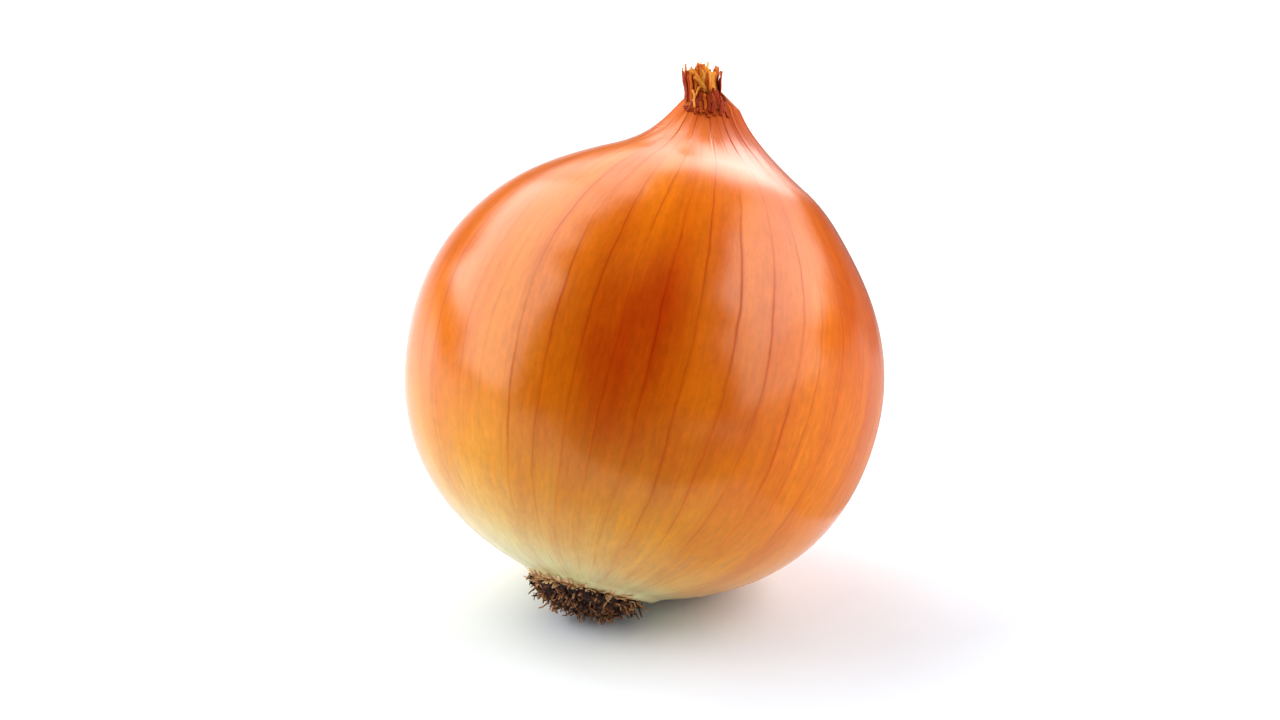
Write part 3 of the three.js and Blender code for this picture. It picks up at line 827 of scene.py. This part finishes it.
# %% [markdown]
# The roots
#
# Under the bulb is the basal plate, a low dome that the roots grew from. Dried, they are a dense mat
# of short crooked brown fibres. A hair system could grow them, but hair isn't a mesh, and hundreds of
# near-alike fibres suit Geometry Nodes: points scattered on the dome, a short line on each, splayed
# outwards towards the rim, kinked by noise and given a thin tapered body.

# %% A tree for root fibres: where each grows
PLATE_RADIUS = 8.0  # mm
FULL_LENGTH_TO = 0.3  # the share of that radius where fibres start to get shorter
fibre_tree, given, out = new_tree("root_fibres", [
    ("Density", "NodeSocketFloat", 2e6), ("Length", "NodeSocketFloat", 3 * MM),
    ("Thickness", "NodeSocketFloat", 0.35 * MM), ("Splay", "NodeSocketFloat", 90.0),
    ("Kink", "NodeSocketFloat", 1.6 * MM), ("Seed", "NodeSocketInt", 1),
    ("Material", "NodeSocketMaterial", None)])
face_way = add(fibre_tree, "GeometryNodeInputNormal")
face_up = add(fibre_tree, "ShaderNodeSeparateXYZ", {0: face_way.outputs[0]})
downward = add(fibre_tree, "FunctionNodeCompare", {0: face_up.outputs["Z"], 1: -0.3},
               data_type="FLOAT", operation="LESS_THAN")
scatter = add(fibre_tree, "GeometryNodeDistributePointsOnFaces", {
    "Mesh": given["Geometry"], "Selection": downward.outputs[0], "Density": given["Density"],
    "Seed": given["Seed"]})
line = add(fibre_tree, "GeometryNodeCurvePrimitiveLine", {"Start": (0, 0, 0.15), "End": (0, 0, -1.0)})
steps = add(fibre_tree, "GeometryNodeResampleCurve", {"Curve": line.outputs[0], "Count": 9})
steps_part = add(fibre_tree, "GeometryNodeSplineParameter")
with_reach = add(fibre_tree, "GeometryNodeStoreNamedAttribute", {
    "Geometry": steps.outputs[0], "Name": "reach", "Value": steps_part.outputs["Factor"]},
    data_type="FLOAT")
where = add(fibre_tree, "GeometryNodeInputPosition").outputs[0]
split = add(fibre_tree, "ShaderNodeSeparateXYZ", {0: where}).outputs
splay_x = add(fibre_tree, "ShaderNodeMath", {0: split["Y"], 1: given["Splay"]}, operation="MULTIPLY")
splay_y = add(fibre_tree, "ShaderNodeMath", {0: split["X"], 1: given["Splay"]}, operation="MULTIPLY")
splay_back = add(fibre_tree, "ShaderNodeMath", {0: splay_y.outputs[0], 1: -1.0},
                 operation="MULTIPLY")
splay = add(fibre_tree, "ShaderNodeCombineXYZ", {0: splay_x.outputs[0], 1: splay_back.outputs[0]})

# %% [markdown]
# No two roots are alike. A Random Value node gives each point a value of its own, from the tree's one
# seed, for the fibre's turn, length, tone and girth. The roots also get shorter towards the rim.

# %% Draw each fibre's turn, length, tone and girth
# A Random Value node holds the vector's limits in inputs 0 and 1, and the number's in 2 and 3.
stray_by = add(fibre_tree, "FunctionNodeRandomValue", {
    0: (-1.3, -1.3, 0), 1: (1.3, 1.3, 0), "Seed": given["Seed"]}, data_type="FLOAT_VECTOR")
aim = add(fibre_tree, "ShaderNodeVectorMath", {0: splay.outputs[0], 1: stray_by.outputs[0]},
          operation="ADD")
long_by = add(fibre_tree, "FunctionNodeRandomValue", {2: 0.45, 3: 1.2, "Seed": given["Seed"]},
              data_type="FLOAT")
from_middle = add(fibre_tree, "ShaderNodeVectorMath", {0: where}, operation="LENGTH")
shorter = add(fibre_tree, "ShaderNodeMapRange", {
    "Value": from_middle.outputs["Value"], "From Min": FULL_LENGTH_TO * PLATE_RADIUS * MM,
    "From Max": PLATE_RADIUS * MM, "To Min": 1.0, "To Max": 0.36})
long_here = add(fibre_tree, "ShaderNodeMath", {0: shorter.outputs[0], 1: long_by.outputs[1]},
                operation="MULTIPLY")
long = add(fibre_tree, "ShaderNodeMath", {0: long_here.outputs[0], 1: given["Length"]},
           operation="MULTIPLY")
grown = add(fibre_tree, "GeometryNodeInstanceOnPoints", {
    "Points": scatter.outputs["Points"], "Instance": with_reach.outputs[0], "Rotation": aim.outputs[0],
    "Scale": long.outputs[0]})
tone_by = add(fibre_tree, "FunctionNodeRandomValue", {2: -0.5, 3: 0.7, "Seed": given["Seed"]},
              data_type="FLOAT")
toned = add(fibre_tree, "GeometryNodeStoreNamedAttribute", {
    "Geometry": grown.outputs[0], "Name": "tone", "Value": tone_by.outputs[1]},
    data_type="FLOAT", domain="INSTANCE")
thick_by = add(fibre_tree, "FunctionNodeRandomValue", {2: 0.6, 3: 1.4, "Seed": given["Seed"]},
               data_type="FLOAT")
thick = add(fibre_tree, "ShaderNodeMath", {0: thick_by.outputs[1], 1: given["Thickness"]},
            operation="MULTIPLY")
bodied = add(fibre_tree, "GeometryNodeStoreNamedAttribute", {
    "Geometry": toned.outputs[0], "Name": "body", "Value": thick.outputs[0]},
    data_type="FLOAT", domain="INSTANCE")
real = add(fibre_tree, "GeometryNodeRealizeInstances", {"Geometry": bodied.outputs[0]})

# %% [markdown]
# Roots dry crooked. Noise pushes the lines aside, more towards their tips, and then a small square is
# swept along each and narrows on its way. Four sides are enough at this size.

# %% Kink the fibres and give them a body
reach = add(fibre_tree, "GeometryNodeInputNamedAttribute", {"Name": "reach"}, data_type="FLOAT")
body = add(fibre_tree, "GeometryNodeInputNamedAttribute", {"Name": "body"}, data_type="FLOAT")
noise = add(fibre_tree, "ShaderNodeTexNoise", {"Vector": where, "Scale": 0.64 / MM, "Detail": 1.0})
centred = add(fibre_tree, "ShaderNodeVectorMath", {0: noise.outputs["Color"], 1: (0.5, 0.5, 0.5)},
              operation="SUBTRACT")
kink_size = add(fibre_tree, "ShaderNodeMath", {0: reach.outputs[0], 1: given["Kink"]},
                operation="MULTIPLY")
kink = add(fibre_tree, "ShaderNodeVectorMath", {
    0: centred.outputs[0], "Scale": kink_size.outputs[0]}, operation="SCALE")
kinked = add(fibre_tree, "GeometryNodeSetPosition", {
    "Geometry": real.outputs[0], "Offset": kink.outputs[0]})
taper = add(fibre_tree, "ShaderNodeMapRange", {
    "Value": reach.outputs[0], "To Min": 1.0, "To Max": 0.4})
girth = add(fibre_tree, "ShaderNodeMath", {0: taper.outputs[0], 1: body.outputs[0]},
            operation="MULTIPLY")
section = add(fibre_tree, "GeometryNodeCurvePrimitiveCircle", {"Resolution": 4, "Radius": 0.5})
bodies = add(fibre_tree, "GeometryNodeCurveToMesh", {
    "Curve": kinked.outputs[0], "Profile Curve": section.outputs[0], "Scale": girth.outputs[0],
    "Fill Caps": True})
whole = add(fibre_tree, "GeometryNodeJoinGeometry")
fibre_tree.links.new(bodies.outputs[0], whole.inputs[0])
fibre_tree.links.new(given["Geometry"], whole.inputs[0])
clad = add(fibre_tree, "GeometryNodeSetMaterial", {
    "Geometry": whole.outputs[0], "Material": given["Material"]})
fibre_tree.links.new(clad.outputs[0], out.inputs[0])
print("the root tree has", len(fibre_tree.nodes), "nodes")

# %% [markdown]
# The finish of the roots
#
# Dry roots are dull and woody. In the mat they are almost black-brown with a trace of maroon, and
# paler towards the tips, where soil and air have bleached them. Each fibre has a tone of its own, so
# that single ones stand out of the dark.

# %% Root fibre, dried in the air: dark, dusty and without shine to the eye
SPECKS_PER_MM = 0.9  # soil dust is far finer, and is drawn in specks of about 1 mm to show
root_finish, tree, shader = new_material("dry_root_fibre")
tone_in = add(tree, "ShaderNodeAttribute", attribute_name="tone").outputs["Fac"]
reach_in = add(tree, "ShaderNodeAttribute", attribute_name="reach").outputs["Fac"]
spot = add(tree, "ShaderNodeTexCoord").outputs["Object"]
mottle = add(tree, "ShaderNodeTexNoise", {
    "Vector": spot, "Scale": SPECKS_PER_MM / MM, "Detail": 2.0}).outputs["Fac"]
pale_by = add(tree, "ShaderNodeMapRange", {"Value": reach_in, "To Min": 0.6})
pale = add(tree, "ShaderNodeMath", {0: tone_in, 1: pale_by.outputs[0]}, operation="MULTIPLY")
dusty = add(tree, "ShaderNodeMath", {0: mottle, 1: 0.4, 2: -0.1}, operation="MULTIPLY_ADD")
root_sum = add(tree, "ShaderNodeMath", {0: pale.outputs[0], 1: dusty.outputs[0]}, operation="ADD",
               use_clamp=True)
root_colour = add(tree, "ShaderNodeValToRGB", {"Fac": root_sum.outputs[0]})
fill_ramp(root_colour, [(0.0, "#1C0803"), (0.22, "#3A1408"), (0.45, "#7A4420"), (0.7, "#C48A54"),
                        (1.0, "#F0CC98")])
root_bump = add(tree, "ShaderNodeBump", {"Height": mottle, "Strength": 0.5, "Distance": 0.1 * MM})
tree.links.new(root_colour.outputs["Color"], shader.inputs["Base Color"])
tree.links.new(root_bump.outputs[0], shader.inputs["Normal"])
shader.inputs["Roughness"].default_value = 0.75
print("the finish of the roots has", len(tree.nodes), "nodes")

# %% [markdown]
# Growing the roots
#
# The plate is a rough dome with a flat lid that hides inside the bulb. The fibres grow from it, and
# torn flakes of old skin stand round its edge in rings. They come from the strip tree again, with
# other sizes. On the side that we see, two more rings of flakes reach over the rim of the skin, and
# so there is no clean line between skin and roots.

# %% Build the plate and its fibres
PLATE_SHIFT = 0.9  # mm to -X
AROUND = 48
DOME_RIM, DOME_TALL, DOME_ROUGH, DOME_TIP, LID = 1.2, 1.6, 0.25, -2.9, 0.6  # mm
rings_out = np.linspace(0, 1, 14)[1:]
around = np.linspace(0, 2 * math.pi, AROUND, endpoint=False)
dome_r = PLATE_RADIUS * rings_out[:, None] * np.ones(AROUND)
dome_z = (-(DOME_RIM + DOME_TALL * (1 - rings_out[:, None] ** 2))
          - DOME_ROUGH * np.random.default_rng(4).random(dome_r.shape))
dome = np.stack([dome_r * np.cos(around), dome_r * np.sin(around), dome_z], -1)
lid = np.stack([dome_r[-1] * np.cos(around), dome_r[-1] * np.sin(around), np.full(AROUND, LID)], -1)
plate = np.vstack([dome, lid[None]])
ring = np.arange(AROUND)
after = (ring + 1) % AROUND
plate_faces = [[r * AROUND + a, r * AROUND + b, (r + 1) * AROUND + b, (r + 1) * AROUND + a]
               for r in range(len(plate) - 1) for a, b in zip(ring.tolist(), after.tolist())]
tip = len(plate) * AROUND
plate_faces += [[tip, b, a] for a, b in zip(ring.tolist(), after.tolist())]
plate_faces += [[tip + 1, tip - AROUND + a, tip - AROUND + b]
                for a, b in zip(ring.tolist(), after.tolist())]
plate_points = np.vstack([plate.reshape(-1, 3), [[0, 0, DOME_TIP], [0, 0, LID]]]) * MM
plate_base = new_object("plate", plate_points, plate_faces)
root_mesh = run_tree(fibre_tree, plate_base, {
    "Density": 4.2e6, "Length": 2.3 * MM, "Thickness": 0.42 * MM, "Splay": 80.0, "Kink": 6.5 * MM,
    "Seed": 5, "Material": root_finish})
bpy.data.objects.remove(plate_base)
print("the root fibres have", len(root_mesh.polygons), "faces")

# %% Add the flakes and put the roots on
FLAKE_RINGS = [  # count, foot radius, foot height, length, width, lean, tone, seed, stray
    (64, 7.9, 0.1, 1.4, 0.8, 82, 1.2, 3, 16), (52, 7.8, -0.3, 1.3, 0.8, 108, 1.0, 8, 20),
    (48, 7.5, -0.8, 1.4, 0.7, 142, 0.5, 6, 20)]
THIN_FIBRE = (183, 90, 0, 8.4, -0.6, 2.2, 0.25, 0.8)  # the one that sticks out on the left
FRINGE_RINGS = [(110, 9.9, 0.05, 1.3, 0.65, 66, 1.1, 11, 14), (90, 9.3, -0.1, 1.5, 0.6, 92, 0.9, 17, 20)]
flake_rows = all_rings(FLAKE_RINGS) + [THIN_FIBRE] + between(all_rings(FRINGE_RINGS), 208, 320)
flakes = make_strips(flake_rows, Taper=0.85, Hollow=0.3, Curl=1.6 * MM, Thickness=0.13 * MM,
                     Material=root_finish)


def place_roots(points):
    """Moves the upright roots to their side and lays them down."""
    return lay_down(points / MM - [PLATE_SHIFT, 0, 0])


roots = joined("root_mat", [(flakes, place_roots), (root_mesh, place_roots)])
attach(roots, "root")
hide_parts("roots")
print("roots:", len(flake_rows), "flakes,", len(roots.data.polygons), "faces")

# %% [markdown]
# The studio floor
#
# The onion lies on a pale board. It is a large flat disc, so that no edge of it comes into view, a
# touch bluish to balance the warm light that the onion throws on it.

# %% Matt white board: even and without shine to the eye
FLOOR_RADIUS, FLOOR_SIDES = 3, 96  # metres
FLOOR_DROP = 0.2 * MM  # below the onion's flat spot, so that the two don't share one plane
CLOUDS_PER_METRE = 60.0  # faint clouds about 17 mm across
floor_finish, tree, shader = new_material("matt_white_board")
spot = add(tree, "ShaderNodeTexCoord").outputs["Object"]
clouds = add(tree, "ShaderNodeTexNoise", {"Vector": spot, "Scale": CLOUDS_PER_METRE, "Detail": 2.0})
white = add(tree, "ShaderNodeValToRGB", {"Fac": clouds.outputs["Fac"]})
fill_ramp(white, [(0.0, "#E2E9F0"), (1.0, "#E7EEF5")])
tree.links.new(white.outputs["Color"], shader.inputs["Base Color"])
shader.inputs["Roughness"].default_value = 0.9
shader.inputs["Specular IOR Level"].default_value = 0.0
turns = np.linspace(0, 2 * math.pi, FLOOR_SIDES, endpoint=False)
floor_ring = np.stack([FLOOR_RADIUS * np.cos(turns), FLOOR_RADIUS * np.sin(turns),
                       np.full(FLOOR_SIDES, -FLOOR_DROP)], -1)
floor = new_object("floor", floor_ring, [list(range(FLOOR_SIDES))], floor_finish)
print("the floor is", 2 * FLOOR_RADIUS, "m across")

# %% [markdown]
# The light
#
# A shiny skin shows its room. An image of a room could light it, but here plain panels do. The
# reflections in the photograph tell where soft lights were, and an upright panel stands for each, as
# high and as bright as its reflection asks for, with gaps where the skin is dark. None stands behind
# the camera, and that soft dark shows how deep the skin's orange is. The panels can't be seen
# themselves. A weak light from above only fills the shadows, and makes no reflection.

# %% Stand up the panels of light
PANELS = [  # name, start and end on the floor, low and high edge in metres, radiance
    ("left_box", (-0.8, -0.38), (-0.8, 0.15), 0.06, 1.15, 4.7),
    ("left_far_box", (-0.8, 0.15), (-0.8, 0.8), 0.18, 1.9, 4.4),
    ("left_back_panel", (-0.8, 0.8), (-0.36, 1.015), 0.36, 2.3, 4),
    ("low_back_panel", (-0.33, 1.03), (0, 1.05), 0.32, 0.86, 2.2),
    ("high_back_panel", (-0.33, 1.03), (0, 1.05), 0.86, 1.9, 3.4),
    ("dim_back_panel", (0, 1.05), (0.18, 1.0), 0.32, 0.95, 3.3),
    ("back_panel", (0.18, 1.0), (0.5, 0.87), 0.25, 0.84, 5.4),
    ("back_foot_panel", (0.18, 1.0), (0.36, 0.93), 0.03, 0.24, 1.6),
    ("right_dim_panel", (0.5, 0.87), (0.66, 0.68), 0.3, 0.8, 2),
    ("right_back_panel", (0.66, 0.68), (0.8, 0.46), 0.24, 1.05, 3.3),
    ("right_far_box", (0.8, 0.46), (0.8, 0.13), 0.2, 1.2, 4.5),
    ("right_box", (0.8, 0.13), (0.8, -0.46), 0.35, 1.1, 5.1),
    ("right_low_box", (0.8, 0.13), (0.8, -0.46), 0, 0.35, 3),
    ("right_near_box", (0.8, -0.46), (0.8, -0.8), 0.05, 0.66, 3.6)]
FILL_SIZE, FILL_RADIANCE = 0.7, 0.8


def wall_light(name, start, end, low, high, radiance):
    """A bright upright panel over a line on the floor, turned towards the onion. In metres."""
    start, end = Vector(start), Vector(end)
    middle = (start + end) / 2
    inward = Vector((end.y - start.y, start.x - end.x)).normalized()
    if inward.dot(middle) > 0:
        inward.negate()
    light = bpy.data.lights.new(name, "AREA")
    light.shape = "RECTANGLE"
    light.size, light.size_y = (end - start).length, high - low
    light.energy = radiance * math.pi * light.size * light.size_y
    lamp = bpy.data.objects.new(name, light)
    lamp.location = (*middle, (low + high) / 2)
    lamp.rotation_euler = (math.pi / 2, 0, math.atan2(-inward.x, inward.y))
    lamp.visible_camera = False
    bpy.context.scene.collection.objects.link(lamp)


for panel in PANELS:
    wall_light(*panel)
top_fill = bpy.data.lights.new("top_fill", "AREA")
top_fill.size, top_fill.energy = FILL_SIZE, FILL_RADIANCE * math.pi * FILL_SIZE**2
top_lamp = bpy.data.objects.new("top_fill", top_fill)
top_lamp.location = (0, -0.3, 1.4)
top_lamp.visible_camera = top_lamp.visible_glossy = False
bpy.context.scene.collection.objects.link(top_lamp)
print(len(PANELS), "panels and a fill light")

# %% [markdown]
# What the skin mirrors of the floor
#
# The underside of the onion mirrors the floor. In the photograph those reflections are uneven: nearly
# black towards the camera, where nothing lights the room, grey at the right, and pale behind. A floor
# painted that way would show. So thin cards lie just above it that only reflections can see: no
# camera ray, no soft bounced light and no shadow ray meets them.

# %% Darken what the onion mirrors of the floor
CARD_HEIGHT = 0.3 * MM
CARDS = {  # colour and (x, y) corners in metres
    "black_card": ("#101010", [(-1.7, -2), (0.75, -2.6), (0.1, -0.06), (0.02, -0.085), (-0.014, -0.1),
                               (-0.06, -0.13), (-0.166, -0.21)]),
    "grey_card": ("#A4A4A4", [(0.05, -0.07), (0.7, -0.8), (0.75, 0.675), (0.126, 0.114),
                              (0.085, 0.147), (0.018, 0.169), (0.03, 0.06)]),
    "dark_card": ("#646464", [(0.126, 0.114), (1.34, 1.2), (0.188, 1.79), (0.018, 0.169),
                              (0.085, 0.147)]),
    "near_back_card": ("#EAEAEA", [(0.01, 0.1), (0.038, 0.358), (-0.123, 0.338), (-0.276, 0.231),
                                   (-0.077, 0.064), (-0.034, 0.094)]),
    "far_back_card": ("#C0C0C0", [(0.038, 0.358), (0.21, 1.99), (-0.68, 1.88), (-1.53, 1.29),
                                  (-0.276, 0.231), (-0.123, 0.338)])}


def floor_card(name, colour, corners):
    """A thin matt card just above the floor that only reflections see."""
    card_finish, tree, shader = new_material(name)
    shader.inputs["Base Color"].default_value = linear(colour)
    shader.inputs["Specular IOR Level"].default_value = 0.0
    points = np.array([[x, y, CARD_HEIGHT] for x, y in corners])
    card = new_object(name, points, [list(range(len(corners)))], card_finish)
    card.visible_camera = False
    card.visible_diffuse = False
    card.visible_shadow = False


for name, (colour, corners) in CARDS.items():
    floor_card(name, colour, corners)
print(len(CARDS), "cards on the floor")

# %% [markdown]
# The backdrop
#
# The wall behind is white and has no edge. A white world does that, but it would also light the onion
# from all sides and wash the reflections out. A Light Path node tells camera rays from all others, so
# that the world looks white and hardly shines.

# %% Hang a white backdrop
BACKDROP_SEEN, BACKDROP_GLOW = 0.95, 0.03
world = bpy.data.worlds.new("studio")
world.use_nodes = True
bpy.context.scene.world = world
sky = world.node_tree.nodes["Background"]
seen = add(world.node_tree, "ShaderNodeLightPath")
pale_sky = add(world.node_tree, "ShaderNodeMath", {
    0: seen.outputs["Is Camera Ray"], 1: BACKDROP_SEEN, 2: BACKDROP_GLOW}, operation="MULTIPLY_ADD")
world.node_tree.links.new(pale_sky.outputs[0], sky.inputs["Strength"])
sky.inputs["Color"].default_value = (1, 1, 1, 1)
print("the backdrop looks", round(BACKDROP_SEEN + BACKDROP_GLOW, 2), "white")

# %% [markdown]
# The camera
#
# The photograph looks down on the onion by some 20 degrees, from not far away, through a long lens
# that keeps the outline nearly free of perspective. The Standard view keeps the white of the backdrop
# white and the orange full.

# %% Place the camera
CAMERA_UP = math.radians(21)
CAMERA_TARGET = Vector((-2.742, -2.455, 38.210)) * MM
CAMERA_DISTANCE = 0.65
camera_data = bpy.data.cameras.new("camera")
camera_data.lens = 115.2
camera_data.sensor_width = 36
camera = bpy.data.objects.new("camera", camera_data)
towards_camera = Vector((0, -math.cos(CAMERA_UP), math.sin(CAMERA_UP)))
camera.location = CAMERA_TARGET + towards_camera * CAMERA_DISTANCE
camera.rotation_euler = (math.pi / 2 - CAMERA_UP, 0, 0)
bpy.context.scene.collection.objects.link(camera)
bpy.context.scene.camera = camera
bpy.context.scene.view_settings.view_transform = "Standard"
print("the camera is at, in metres:", [round(c, 3) for c in camera.location])
